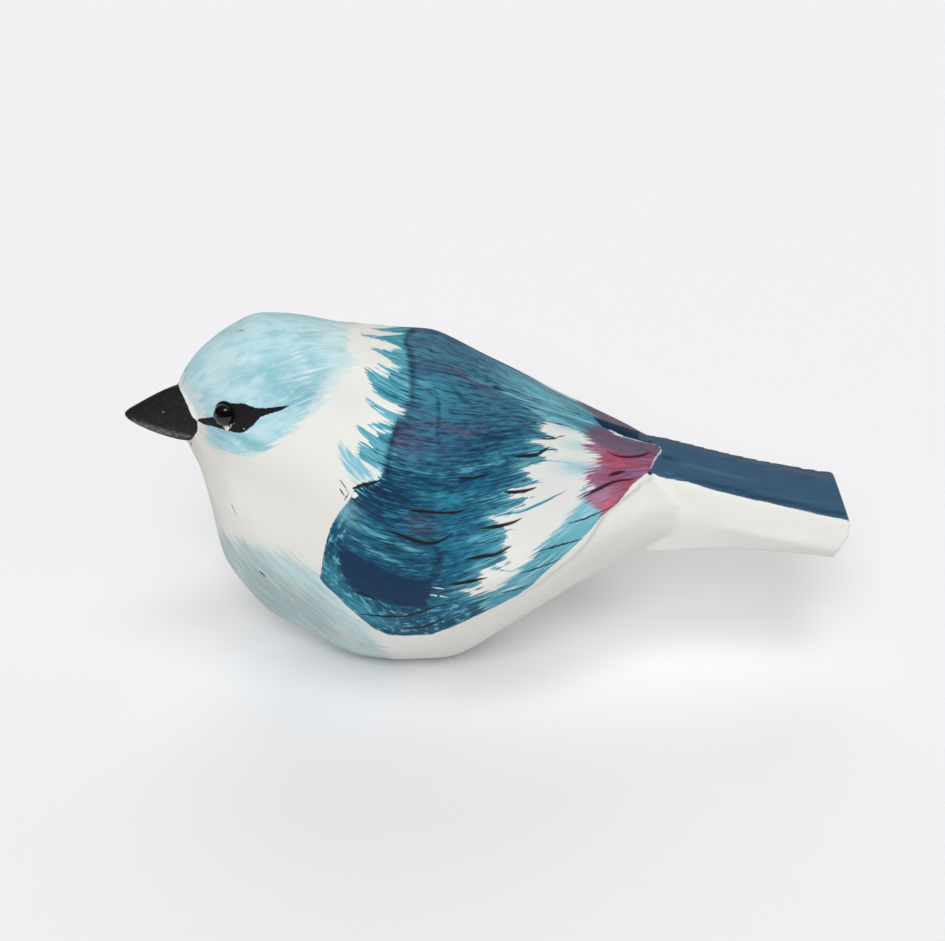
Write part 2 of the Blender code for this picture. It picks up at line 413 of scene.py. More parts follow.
# Painted edges, read off the picture in its pixels ("seen"), and closed where the picture doesn't show
# them by places on the bird ("unseen": millimetres back from the beak tip, degrees down from the back).
outlines = {
    "coat": {  # everything blue or red on the back and wing, from its ragged front edge to the wing's tip
        "seen": [(363.7, 324), (363, 335), (375, 338), (385, 342), (395, 346), (401, 349.5), (388, 349.5),
                 (371, 349), (381, 354), (391, 362), (398, 369), (388, 367), (378, 366), (387, 376),
                 (376, 372), (365, 368), (368, 378), (371, 388), (376, 394.5), (385, 401), (403, 411.5),
                 (388, 409.5), (366, 400.5), (373, 407), (381, 412), (395, 423), (384, 422), (370, 424.5),
                 (390, 432), (380, 434), (370, 433), (357.5, 424.5), (362, 432), (372, 446), (366, 444),
                 (356, 445), (360, 458), (367.5, 463), (379, 470), (379, 476), (372, 481), (355, 487),
                 (350, 499), (340.4, 510.7), (332, 524.4), (327.7, 536), (323.5, 554), (320, 578.4),
                 (324.5, 584.8), (336, 595), (346.7, 606), (364.7, 621.8), (375.3, 629.2), (389, 635),
                 (405, 636), (431.4, 634.5), (452.6, 627), (478, 615), (499, 605), (517.7, 595),
                 (532, 585), (543, 574), (571, 549), (592.5, 527.6), (602.5, 515), (618.3, 502.5),
                 (633.3, 483.3), (649.6, 471), (656.7, 457.5), (662.5, 451), (658, 443)],
        "unseen": [(87, -25), (34, -20)],
    },
    "fringe": {  # the paler strip ahead of the slate
        "seen": [(383, 326), (400, 337), (409, 347), (409, 374.5), (410, 399.5), (400, 414.5),
                 (396, 424.5), (390, 447), (385, 472), (381, 481), (362, 486)],
        "unseen": [(30, 70), (26, -20), (37, -20)],
    },
    "rim": {  # the wing's bevelled rim
        "seen": [(350, 500), (351, 515), (345.7, 522.3), (343.6, 539.3), (340.4, 570), (351, 586),
                 (362.6, 594.3), (389, 603.8), (427, 609.6), (447, 605), (462, 602), (480, 622),
                 (400, 648), (350, 640), (305, 600), (305, 540), (335, 500)],
    },
    "navy": {
        "seen": [(342, 546), (357.3, 556.2), (374.3, 563.6), (389, 572), (405, 577.4), (420.8, 580.5),
                 (430, 579.5), (428, 592), (427, 609.6), (389, 603.8), (362.6, 594.3), (351, 587),
                 (340.4, 570)],
    },
    "panel": {  # the white behind the wing's ragged rear edge
        "seen": [(547, 420), (540, 427), (542, 431), (552, 437), (533, 441.5), (544, 446), (556, 450.5),
                 (538, 453.5), (545, 459), (538, 463), (520.5, 467.6), (529, 476), (536, 482), (520, 489),
                 (510.6, 495), (524, 498), (525, 506), (512, 511), (491, 519), (503.6, 527.6), (508, 536),
                 (506, 543), (500, 550), (508, 561), (499, 564), (498, 570), (485, 570), (478, 577),
                 (484, 582), (478, 588), (461, 590), (472.6, 595), (484, 593), (505, 590), (530, 567),
                 (556, 543), (578, 518), (592, 497), (606, 480), (608, 436), (585, 434), (573, 429)],
    },
    "band": {  # the light strip below the panel
        "seen": [(499, 587), (520.5, 568.5), (534.6, 553), (560, 529), (574, 508), (580, 501),
                 (582.6, 485), (600, 500), (612, 510), (595, 540), (560, 575), (520, 605), (490, 615),
                 (480, 604)],
    },
    "tip": {  # crimson, with a ragged front edge
        "seen": [(600, 427), (590.8, 428), (584, 436.7), (591.7, 441.7), (584, 447.5), (598.3, 456.7),
                 (597.5, 464), (585, 473.3), (587.5, 478.3), (584, 484), (593.3, 487.5), (581.7, 499),
                 (594, 505.8), (602.5, 516), (612, 514), (634, 490), (652, 476), (665, 454), (661, 445),
                 (641.7, 441.7), (621.7, 436)],
    },
    "stripe": {  # navy, between the two wings
        "seen": [(592.5, 416.7), (621.7, 426.7), (650, 434.8), (659, 442), (655, 443.5), (647.5, 441.7),
                 (621.7, 435), (602.5, 427)],
    },
    "cap": {
        "seen": [(347, 322), (352, 332), (349, 345), (357, 361), (337, 377), (341, 382), (322, 395),
                 (327, 400), (307, 421), (290, 434.5), (273, 444), (257.6, 451), (239.4, 453.5),
                 (221, 450), (206, 441), (207, 424), (205, 411), (198, 398), (190, 388), (182, 377)],
        "unseen": [(7, -40), (32, -30)],
    },
    "wash": {  # thin blue grey on the breast
        "seen": [(219, 536), (232, 538), (250, 545), (290, 555), (320, 575), (330, 590), (345, 605),
                 (360, 622), (380, 645)],
        "unseen": [(40, 180), (10.5, 180)],
    },
    "beak": {
        "seen": [(177.2, 383.3), (187, 404), (191.9, 416.2), (197.3, 421), (198, 429.6), (193, 439)],
        "unseen": [(7, 180), (-3, 180), (-3, -60), (6.5, -60)],
    },
    "mask": {  # the black round the eye, with its stripe to the beak and its tail
        "seen": [(197, 421), (199.2, 418.6), (213.8, 416.8), (216.2, 405.2), (219.9, 403), (243, 403.4),
                 (255.2, 407.6), (266.2, 408.2), (290.5, 405.2), (282, 410), (266.2, 415), (260, 417.4),
                 (254, 424.7), (244.2, 432.2), (238, 433.2), (228.4, 430.8), (215, 427), (205.3, 424.7)],
    },
    "lid": {  # bare white under the bead
        "seen": [(216.5, 418.5), (222, 424), (228, 425.5), (235, 423), (227, 431.5)],
    },
    "tail": {
        "seen": [(662.5, 449), (656, 458), (649.9, 471.8), (659.7, 477.2), (688, 482), (717.6, 491.3),
                 (741.6, 497), (788, 507.5), (829, 516.7), (852, 521.5)],
        "unseen": [(104.95, 66), (104.95, 0), (104.95, -71), (102, -70), (96, -66), (89, -61), (81, -54),
                   (77, -50), (75.6, -44.7), (76.9, -24)],
    },
}
# Strokes of the brush: half their widest breadth in millimetres, then their course in the picture's pixels
strokes = {
    "ink": [
        (0.30, [(512, 456.4), (529, 455.6), (539, 453.5), (549, 447)]),
        (0.28, [(504, 492), (518, 492), (529, 489.5), (537, 487)]),
        (0.30, [(480, 528.5), (499, 526), (512, 523), (522, 518)]),
        (0.28, [(465, 559.5), (482, 556.5), (496.5, 554), (512, 545.5)]),
        (0.27, [(448, 585), (467, 582), (488, 577.5)]), (0.16, [(530, 422), (548, 424.2)]),
        (0.12, [(535, 436), (549, 439), (566, 435)]),
        (0.30, [(388, 530.5), (405, 537), (417.6, 541.4), (429.3, 543.5), (442, 540.3), (453, 533.5)]),
        (0.22, [(408, 510.5), (426, 511.7), (442, 512.8), (455.7, 512.3), (472, 508)]),
        (0.24, [(356, 613.3), (373, 615.4), (389, 616.5), (405, 616), (418.7, 612.3), (436.7, 606.5),
                (454, 602.8)]), (0.26, [(398, 627.6), (415.5, 628), (429.3, 625), (444, 617.6)]),
        (0.18, [(457, 478), (472.6, 478), (490, 474.5)]), (0.20, [(351, 589), (365, 595.5), (380, 601)]),
        (0.13, [(568, 523.5), (584, 519), (596.7, 513.5), (615, 505.8)]),
        (0.15, [(538, 551.5), (557, 546), (582, 539)]),
        (0.12, [(517, 574.5), (534.6, 569), (551.5, 563), (563, 558)]),
        (0.15, [(500, 593.5), (517.7, 589), (532, 584.3)]),
        (0.12, [(339.5, 479), (345, 487), (349.5, 494)]), (0.10, [(339.5, 488.5), (345.5, 498)]),
        (0.12, [(344, 501), (349.5, 492)]), (0.28, [(352, 489), (362, 485), (372.5, 483), (383, 479)]),
        (0.20, [(258.5, 570.5), (261, 572.5), (266, 577.5)]), (0.10, [(231, 503), (237, 516)]),
        (0.16, [(185, 371.5), (187.2, 366)]), (0.10, [(236, 331.5), (245, 330)]),
        (0.18, [(190.5, 441.5), (192, 447)]),
    ],
    "plum": [
        (0.26, [(606, 450.5), (616.7, 455.8), (626.7, 457), (640, 455.8), (652, 451.5)]),
        (0.26, [(583, 496.5), (598.3, 489), (608.3, 484), (618.3, 480.8), (635, 479)]),
        (0.30, [(608, 476), (616, 473.5), (626, 471)]),
    ],
    "shade": [
        (0.52, [(431, 541), (438.8, 554), (438.8, 564.7), (434.6, 575.2), (429.3, 585.8), (427, 598)]),
        (0.42, [(404, 336), (412, 362), (412, 404)]), (0.42, [(399, 418), (390, 450), (386, 482)]),
        (0.22, [(437, 392), (439, 412), (437, 436)]), (0.22, [(450, 384), (462, 398), (476, 406)]),
        (0.35, [(470, 431), (490, 437), (515, 438)]), (0.30, [(420, 480), (445, 486), (470, 482)]),
    ],
    "mauve": [
        (0.60, [(448, 369), (475, 381), (502, 402)]), (0.45, [(430, 420), (460, 432), (486, 430)]),
    ],
    "dusk": [  # grey along the top of the red
        (2.3, [(556, 417), (604, 438), (630, 445), (690, 456)]),
        (1.2, [(580, 422), (600, 427), (616, 432), (640, 439)]),
    ],
    "haze": [
        (0.40, [(466, 376), (500, 389), (545, 407)]), (0.35, [(352, 522), (391, 541), (431, 558)]),
        (0.25, [(350, 536), (375, 552), (405, 567)]), (0.35, [(478, 366), (510, 375), (545, 390)]),
        (0.90, [(515, 381), (555, 398), (590, 411)]), (0.60, [(584, 488), (592, 508), (575, 530)]),
        (0.25, [(455, 470), (480, 467), (505, 462)]), (0.30, [(470, 498), (495, 499), (515, 494)]),
        (0.45, [(468, 540), (488, 538), (504, 530)]), (0.50, [(474, 566), (488, 561), (500, 553)]),
        (0.30, [(440, 392), (425, 383), (418, 379)]), (0.22, [(664, 471.5), (669, 473.5), (674, 474)]),
        (0.22, [(671, 477.5), (679, 478.5), (687, 479)]), (0.16, [(832, 517), (842, 519.5), (851, 521)]),
    ],
    "wearAndHighlight": [  # the beak's worn lower cut, and a painted highlight along its upper edge
        (0.75, [(132, 422.5), (148, 427.5), (165, 432.5), (180, 435.5), (194, 437)]),
        # a painted highlight along the beak's upper edge
        (0.14, [(131, 407.5), (142, 401), (158, 392.5), (177, 386)]),
    ],
    "hair": [
        (0.12, [(362.5, 323), (372, 327), (384, 331)]), (0.12, [(362.5, 334.5), (372, 337.5), (384, 340)]),
        (0.14, [(369.5, 348.5), (380, 352), (390, 358)]), (0.14, [(364, 367.5), (369, 372), (378, 379)]),
        (0.12, [(365, 400), (371, 405), (384, 410)]), (0.14, [(356.5, 424), (365, 431), (376, 436)]),
        (0.12, [(358, 440.5), (365, 444.5), (374, 450)]), (0.10, [(369, 424), (380, 426.5)]),
        (0.10, [(535, 461), (555, 461), (574, 463.5)]), (0.12, [(528, 482), (543, 482.5)]),
        (0.12, [(520, 499), (538, 496.5)]),
        (0.20, [(499, 515), (520.5, 511.5), (540, 504), (554, 496.5), (567, 490.5)]),
        (0.09, [(503, 531), (517, 529)]), (0.10, [(496, 569.5), (513, 571.5)]),
        (0.10, [(548, 446), (558, 451.5)]),
    ],
    "chalk": [
        (0.14, [(429, 594.5), (448, 597.3)]), (0.12, [(431, 587), (445, 589)]),
        (0.13, [(508, 489.8), (521, 489)]), (0.10, [(672.4, 449), (679, 456), (686.5, 466.5)]),
        (0.48, [(351, 495), (358, 495)]), (0.07, [(215.5, 415), (218, 421), (223, 425.5)]),
    ],
    "sky": [  # light blue strokes, on the white and over the coat's edges
        (0.55, [(338, 440), (344, 458), (352, 474), (362, 488)]),
        (0.45, [(346, 446), (353, 462), (366, 482)]), (0.30, [(355, 452), (362, 466), (374, 480)]),
        (0.40, [(540, 384), (565, 396), (590, 407)]), (0.45, [(505, 392), (545, 408), (596, 424)]),
        (0.35, [(520, 404), (555, 419), (590, 431)]), (0.30, [(500, 384), (540, 398), (585, 411)]),
    ],
    "ledgeHighlight": [  # a painted highlight along the carved edge of the near wing's tip
        (0.26, [(608.5, 429.5), (616.7, 434), (624, 437)]),
        (0.10, [(622, 436.5), (641.7, 441.7), (650, 444), (657, 444.8)]),
        (0.13, [(658.5, 446), (661, 450.5), (655, 459), (650.5, 469)]),
    ],
    "glint": [
        (0.10, [(162.5, 411.5), (164, 412.5)]), (0.05, [(242, 428.5), (245, 429)]),
    ],
}
# Lines that the brush marks follow
grains = {
    "coatGrain": [
        [(365, 329), (402, 342)], [(371, 350), (402, 366)], [(366, 370), (402, 392)],
        [(366, 402), (398, 420)], [(358, 426), (392, 446)], [(356, 447), (378, 468)],
        [(400, 335), (470, 352), (595, 410)], [(400, 352), (470, 372), (560, 408)],
        [(405, 380), (470, 395), (545, 412)], [(400, 415), (470, 425), (535, 427)],
        [(395, 440), (460, 448), (540, 440)], [(390, 470), (440, 480), (490, 476), (530, 466)],
        [(360, 500), (400, 511), (440, 513), (480, 508), (540, 490)],
        [(352, 524), (391, 537), (430, 544), (470, 530), (520, 518)],
        [(345, 548), (374, 563), (405, 576), (440, 578), (490, 560)],
        [(352, 590), (389, 604), (427, 605), (470, 585)],
        [(365, 620), (400, 626), (440, 618), (478, 603), (520, 580)],
        [(499, 600), (540, 568), (575, 533), (603, 505)], [(585, 437), (620, 445), (656, 449)],
        [(585, 455), (620, 460), (652, 456)], [(585, 478), (620, 472), (648, 463)],
        [(583, 497), (608, 485), (632, 478)], [(670, 460), (760, 478), (840, 495)],
        [(670, 500), (760, 525), (835, 540)], [(225, 550), (262, 592), (320, 638)],
        [(257, 550), (300, 590), (365, 640)], [(500, 370), (560, 396), (640, 428)],
        [(215, 470), (222, 520)], [(290, 470), (300, 530)],
    ],
    "capGrain": [
        [(184, 380), (203, 352), (240, 325), (300, 317), (345, 324)],
        [(190, 385), (215, 360), (250, 343), (300, 337), (350, 343)],
        [(200, 400), (225, 383), (260, 370), (300, 363), (355, 360)],
        [(206, 412), (235, 396), (270, 390), (300, 383), (338, 371)], [(285, 412), (308, 398), (328, 384)],
        [(240, 446), (272, 438), (300, 421)], [(206, 431), (225, 443), (250, 445), (290, 428)],
        [(195, 392), (200, 415)],
    ],
}
# Edges, strokes and patches that aren't the same on both sides
unmirrored = ("stripe", "tail", "ledgeHighlight", "tailUnder")
tones = {
    "white": (238, 237, 232), "shadedWhite": (229, 228, 222), "capBlue": (182, 221, 230),
    "capPale": (212, 234, 238), "capDeep": (126, 185, 198), "teal": (66, 148, 168),
    "paleTeal": (118, 188, 201), "slate": (62, 92, 122), "navy": (24, 52, 82), "blue": (25, 82, 113),
    "glaze": (48, 130, 156), "skyBlue": (134, 197, 213), "tailBlue": (60, 93, 120),
    "tailDark": (36, 58, 90), "crimson": (164, 62, 88), "coral": (216, 102, 118), "plum": (118, 82, 122),
    "ink": (30, 30, 33), "dark": (18, 44, 68), "washBlue": (188, 212, 215), "washGrey": (158, 177, 179),
    "wearAndHighlightGrey": (118, 116, 116), "lilac": (164, 140, 176), "beakBlack": (36, 35, 37),
    "greyPlum": (108, 96, 118), "clearBlue": (104, 186, 210), "darkPlum": (70, 30, 48),
    "rimDark": (30, 84, 112), "paleWhite": (244, 245, 244), "palest": (240, 239, 236),
    "cream": (214, 211, 200), "coolShadedWhite": (220, 222, 221), "mauve": (92, 85, 104),
    "tailTeal": (68, 114, 138), "tailGrey": (84, 96, 118),
}
paintDepth = 0.79  # share of a tone's light that the paint sends back


def paintOf(name):
    return [part * paintDepth for part in linear(tones[name])]


def tone(name):
    return (*paintOf(name), 1.0)


# Soft patches under the brush marks: the tone they lie on, then for each patch its tone, where it is in the
# picture, how far it reaches along and round the bird in millimetres, its turn in degrees, its strength
undertones = {
    "whiteUnder": ("white", [
        ("cream", (192, 441), (2.5, 7), 0, 0.9), ("cream", (203, 433), (1.6, 2.2), 0, 0.6),
        # painted light and shade on the white: the patch on the cheek is painted shade, the palest patches
        # on the lower flank and on the flank under the tail are painted light, and the cool grey patches on
        # the nape and on the panel are painted shade
        ("shadedWhite", (272, 480), (12, 7), 0, 1.0), ("palest", (560, 590), (12, 4), -20, 0.8),
        ("palest", (640, 520), (8, 4), 0, 0.8), ("coolShadedWhite", (345, 400), (4, 3), 0, 0.7),
        ("coolShadedWhite", (540, 485), (10, 9), 0, 1.0), ("palest", (560, 455), (4, 2), 0, 0.5),
        ("capPale", (372, 477), (1.8, 1.4), 0, 0.7), ("skyBlue", (580, 467), (3.2, 1.4), 0, 1.0),
        ("skyBlue", (578, 446), (2.4, 1.8), 0, 0.5), ("skyBlue", (565, 425), (5, 2.0), 0, 0.6),
        ("capBlue", (188, 386), (2, 6), 0, 0.6), ("capBlue", (196, 402), (1.5, 5), 0, 0.5),
        ("capPale", (201, 411), (1.6, 1.6), 0, 0.5),
    ]),
    "coatUnder": ("blue", [
        ("slate", (440, 350), (14, 5), 8, 1.0), ("slate", (430, 400), (8, 6), 0, 0.9),
        # the grey patch at the front of the back's ridge is a painted sheen
        ("tailGrey", (430, 347), (7, 3.5), 8, 0.8), ("slate", (540, 372), (10, 1.0), 14, 0.6),
        ("slate", (500, 410), (8, 4), 5, 0.6), ("slate", (412, 440), (5, 3), 0, 0.8),
        ("glaze", (432, 388), (4.5, 2.2), 0, 0.5), ("glaze", (500, 388), (8, 1.8), 15, 0.6),
        ("paleTeal", (535, 390), (8, 1.8), 14, 0.9), ("clearBlue", (562, 400), (7, 2.2), 12, 1.0),
        ("clearBlue", (522, 386), (5, 1.4), 14, 0.6), ("paleTeal", (545, 400), (8, 6), 14, 0.7),
        ("slate", (585, 402), (4, 1.6), 12, 0.6), ("navy", (380, 497), (6, 3.0), 5, 0.9),
        ("mauve", (420, 527), (2.0, 1.6), 0, 0.5), ("mauve", (402, 438), (2.5, 2), 0, 0.5),
        ("teal", (430, 352), (5, 1.5), 8, 0.5), ("teal", (475, 398), (5, 2), 8, 0.35),
        ("teal", (440, 405), (3.0, 2.5), 0, 0.45), ("teal", (415, 465), (3.0, 1.2), 0, 0.4),
        ("glaze", (447, 500), (3.2, 1.4), 0, 0.9), ("navy", (440, 478), (4, 1.6), 0, 0.5),
        ("glaze", (475, 545), (6, 3), -10, 0.6), ("teal", (500, 545), (4, 3), 0, 0.4),
        ("teal", (480, 590), (6, 2.2), -15, 0.5), ("teal", (505, 505), (4, 2.5), 0, 0.35),
        ("teal", (527, 465), (3.5, 3), 0, 0.45), ("glaze", (385, 540), (6, 1.4), 16, 0.4),
        ("dark", (402, 552), (3.5, 1.2), 14, 0.6), ("dark", (420, 590), (5, 2.5), 0, 0.3),
        ("glaze", (450, 610), (5, 2), 0, 0.5), ("skyBlue", (345, 512), (1.8, 2.2), 0, 0.7),
        ("rimDark", (336, 543), (1.8, 3), 0, 1.0), ("teal", (331, 575), (1.8, 3), 0, 0.8),
        ("teal", (357, 607), (3, 2), 0, 1.0), ("teal", (385, 622), (4, 1.5), 0, 0.7),
        ("rimDark", (413, 624), (3, 2), 0, 0.9),
    ]),
    "bandUnder": ("teal", [
        ("skyBlue", (590, 506), (4, 4), 0, 1.0), ("paleTeal", (566, 535), (4, 3), 0, 0.6),
        ("paleTeal", (522, 578), (3, 2), 0, 0.4),
    ]),
    "capUnder": ("capBlue", [
        ("capPale", (205, 372), (4, 2.5), 0, 0.5), ("capPale", (240, 330), (5, 2), 0, 0.35),
        ("capPale", (338, 340), (3, 4), 0, 0.7), ("capDeep", (305, 393), (4.5, 2.4), -20, 1.0),
        ("capDeep", (250, 443), (6, 1.4), 0, 0.9), ("capDeep", (222, 440), (2.5, 1.2), 0, 0.5),
        ("capDeep", (262, 374), (4, 2.2), 0, 0.75), ("capDeep", (318, 350), (3, 2.5), 0, 0.3),
        ("capDeep", (205, 395), (2, 1.5), 0, 0.3), ("capPale", (235, 350), (5, 3), 0, 0.3),
        ("capDeep", (282, 396), (5, 1.2), 0, 0.4), ("capPale", (235, 390), (4, 1.2), 0, 0.5),
    ]),
    "washUnder": ("washBlue", [
        ("washGrey", (268, 590), (4, 5), 0, 0.9), ("washGrey", (312, 612), (5, 4), 0, 0.9),
        ("washGrey", (250, 620), (5, 6), 0, 0.5),
    ]),
    "tailUnder": ("tailBlue", [
        # the long grey patch along the tail's far edge is a painted sheen
        ("tailGrey", (775, 466), (24, 1.7), -12, 0.9), ("tailTeal", (712, 471), (7, 2.2), 5, 0.9),
        ("tailTeal", (800, 500), (7, 1.6), 4, 0.4), ("tailDark", (668, 458), (1.6, 3), 0, 0.8),
        ("tailDark", (720, 486), (5, 1.0), 5, 0.8), ("tailDark", (775, 500), (7, 1.0), 5, 0.8),
        ("tailDark", (830, 512), (4, 1.0), 5, 0.6),
    ]),
    "tipUnder": ("crimson", [
        ("coral", (618, 462), (3, 2), 0, 0.4), ("plum", (612, 476), (2.2, 2), 0, 0.5),
        ("lilac", (589, 445), (2.0, 3), 0, 0.6), ("lilac", (589, 472), (1.6, 4), 0, 0.5),
        ("lilac", (603, 496), (2.4, 3), 0, 0.9), ("coral", (612, 506), (2, 2), 0, 0.6),
        ("plum", (642, 462), (2.2, 3), 0, 0.7), ("mauve", (628, 474), (2.4, 1.4), 0, 0.5),
        ("mauve", (602, 487), (2.0, 1.6), 0, 0.4),
    ]),
}


# How the edges and strokes of the paint run, in millimetres
layout = {
    "edgeReach": 5.0,  # distances from an edge are told apart up to this
    "strokeReach": 1.2,  # how far beyond a stroke's half breadth it is told apart
    "strokeMargin": 2.0,  # and how far round it points are looked at
    "swelling": 0.3,  # share of a stroke over which it swells
    "thinning": 0.45,  # and over which it thins out
    "capRear": (22, 6),  # where the cap starts to thin, and over what length
    "crispFrom": (355, 487),  # the coat's outline is ragged up to this pixel, and crisp after it
    "raggedness": (0.15, 1.15),  # of the crisp edge, and what is added away from it
    "raggedFrom": (0.8, 2.5),
}


# Points no further apart than the given step, along a line through the given points
def walked(line, step=4.0):
    line = np.array(line, float)
    parts = []
    for start, end in zip(line[:-1], line[1:]):
        count = max(1, math.ceil(np.linalg.norm(end - start) / step))
        parts.append(start + (end - start) * np.arange(count)[:, None] / count)
    return np.vstack([*parts, line[-1:]])


# A smooth curve through a few points
def curved(line, share=0.125):
    line = np.array(line, float)
    if len(line) < 3:
        return line
    ends = np.vstack([2 * line[0] - line[1], line, 2 * line[-1] - line[-2]])
    found = []
    for a, b, c, d in zip(ends[:-3], ends[1:-2], ends[2:-1], ends[3:]):
        for t in np.arange(0, 1, share):
            found.append(0.5 * (2 * b + (c - a) * t + (2 * a - 5 * b + 4 * c - d) * t * t
                                + (3 * b - a - 3 * c + d) * t ** 3))
    return np.array([*found, line[-1]])


def eased(share):
    share = np.clip(share, 0.0, 1.0)
    return share * share * (3 - 2 * share)


class Sights:
    def __init__(self, mesh):
        self.tree = sightTree(mesh)
        self.right, self.up, self.back = pictureAxes()
        self.eye = Vector(picture["target"]) + picture["distance"] * self.back

    # Where a line meets the wood, or the wood nearest to a place if it misses
    def meet(self, start, run, place):
        hit = self.tree.ray_cast(start, run)[0]
        return tuple(self.tree.find_nearest(place)[0] if hit is None else hit)

    # Where the picture's pixels lie on the bird, in metres
    def seen(self, pixels):
        width, height = picture["size"]
        found = []
        for x, y in pixels:
            across, down = float(x) - width / 2, float(y) - height / 2
            sight = (across * self.right - down * self.up) / picture["focalPixels"] - self.back
            sight.normalize()
            found.append(self.meet(self.eye, sight, self.eye + sight * picture["distance"]))
        return np.array(found).reshape(-1, 3)

    # Where places on the paint map, with their turns in degrees, lie on the bird
    def placed(self, places):
        found = []
        for along, turn in places:
            x = (along - paintMap["beakTip"]) * mm
            start = Vector((x, 0, middleHeight(along) * mm))
            angle = math.radians(turn)
            found.append(self.meet(start, Vector((0, -math.sin(angle), math.cos(angle))), start))
        return np.array(found).reshape(-1, 3)

    # Points of the near side that the far side's points are painted like
    def mirrored(self, points):
        folded = points.copy()
        along, turn = onMap(points).T
        line = np.interp(along, *np.array(paintMap["parting"]).T)
        turn = turn / paintMap["roundScale"]
        far = np.flatnonzero(turn < line)
        folded[far] = self.placed(np.stack([along[far], np.minimum(2 * line[far] - turn[far], 180)], 1))
        return folded, far

    def normals(self, points):
        return np.array([tuple(self.tree.find_nearest(Vector(point))[1]) for point in points])


# How far inside a painted edge each point lies, in millimetres; outside is negative
def insideOf(outline, points, sights):
    unseen, reach = outline.get("unseen"), layout["edgeReach"]
    course = outline["seen"] if unseen else [*outline["seen"], outline["seen"][0]]
    edge = sights.seen(walked(course))
    loop = onMap(edge)
    if unseen:
        toMap = np.array((1, paintMap["roundScale"]))
        closing = walked([loop[-1] / toMap, *unseen, loop[0] / toMap], step=3.0)[1:]
        edge = np.vstack([edge, sights.placed(closing)])
        loop = np.vstack([loop, closing * toMap])
    loop[:, 1] = np.unwrap(loop[:, 1], period=360 * paintMap["roundScale"])
    inside = insideLoop(loop, onMap(points))
    distance = np.full(len(points), reach)
    edge, corners = edge / mm, points / mm
    near = np.all((corners > edge.min(0) - reach) & (corners < edge.max(0) + reach), 1)
    distance[near] = np.minimum(lineFollow(edge, corners[near])[0], reach)
    return np.where(inside, distance, -distance)


def insideLoop(loop, places):
    inside = np.zeros(len(places), bool)
    x, y = places.T
    for (ax, ay), (bx, by) in zip(loop, np.roll(loop, -1, 0)):
        if ay != by:
            crosses = ((ay > y) != (by > y)) & (x < (bx - ax) * (y - ay) / (by - ay) + ax)
            inside ^= crosses
    return inside


# How far each point is from a line, and how far along the line its nearest place is
def lineFollow(line, points):
    best, along = np.full(len(points), np.inf), np.zeros(len(points))
    travelled = 0.0
    for start, end in zip(line[:-1], line[1:]):
        run = end - start
        size = np.linalg.norm(run)
        if size > 0:
            share = np.clip((points - start) @ run / size ** 2, 0, 1)
            away = points - start - share[:, None] * run
            away = np.einsum("ij,ij->i", away, away)
            along = np.where(away < best, travelled + share * size, along)
            best = np.minimum(best, away)
        travelled += size
    return np.sqrt(best), along


# How far across a stroke the points near it lie, and the stroke's half breadth there
def strokeAt(breadth, course, corners, sights):
    line = sights.seen(curved(course))
    normals = sights.normals(line)
    line = line / mm
    low, high = line.min(0) - layout["strokeMargin"], line.max(0) + layout["strokeMargin"]
    near = np.flatnonzero(np.all((corners > low) & (corners < high), 1))
    run = np.gradient(line, axis=0)
    run /= np.linalg.norm(run, axis=1)[:, None] + 1e-9
    sideways = np.cross(run, normals)
    lengths = np.concatenate([[0], np.cumsum(np.linalg.norm(np.diff(line, axis=0), axis=1))])
    away = corners[near][:, None, :] - line[None]
    closest = np.argmin(np.einsum("ijk,ijk->ij", away, away), 1)
    away = away[np.arange(len(near)), closest]
    across = np.einsum("ij,ij->i", away, sideways[closest])
    along = lengths[closest] + np.einsum("ij,ij->i", away, run[closest])
    share = along / lengths[-1]
    taper = np.clip(np.minimum(share / layout["swelling"], (1 - share) / layout["thinning"]), -9, 1)
    half = breadth * np.where(taper > 0, np.sqrt(np.maximum(taper, 0)), 0)
    half += np.minimum(taper, 0) * lengths[-1] * layout["swelling"]
    sized = np.linalg.norm(away, axis=1) < layout["strokeReach"] + np.maximum(half, 0)
    return near[sized], across[sized], half[sized]


# Strokes that come near one another are kept in separate channels, so that each keeps its own sides
def strokeChannels(group, points, sights):
    channels, corners = [], points / mm
    for breadth, course in group:
        near, across, half = strokeAt(breadth, course, corners, sights)
        for channel in channels:
            if not channel["used"][near].any():
                break
        else:
            channel = {"used": np.zeros(len(points), bool), "across": np.zeros(len(points)),
                       "half": np.full(len(points), -1.0)}
            channels.append(channel)
        channel["used"][near] = True
        channel["across"][near], channel["half"][near] = across, half
    return channels


# The grain is fitted with a grid of bumps on the paint map
grainFit = {
    "reach": 9.0,
    "along": (-5, 115, 7.0),
    "round": (-10, 66, 7.0),
    "climb": 0.6,  # how much the climb across a guide counts, beside 1 for keeping level along it
    "steady": 0.05,  # how strongly each bump is held to none
    "atOnce": 20000,
}


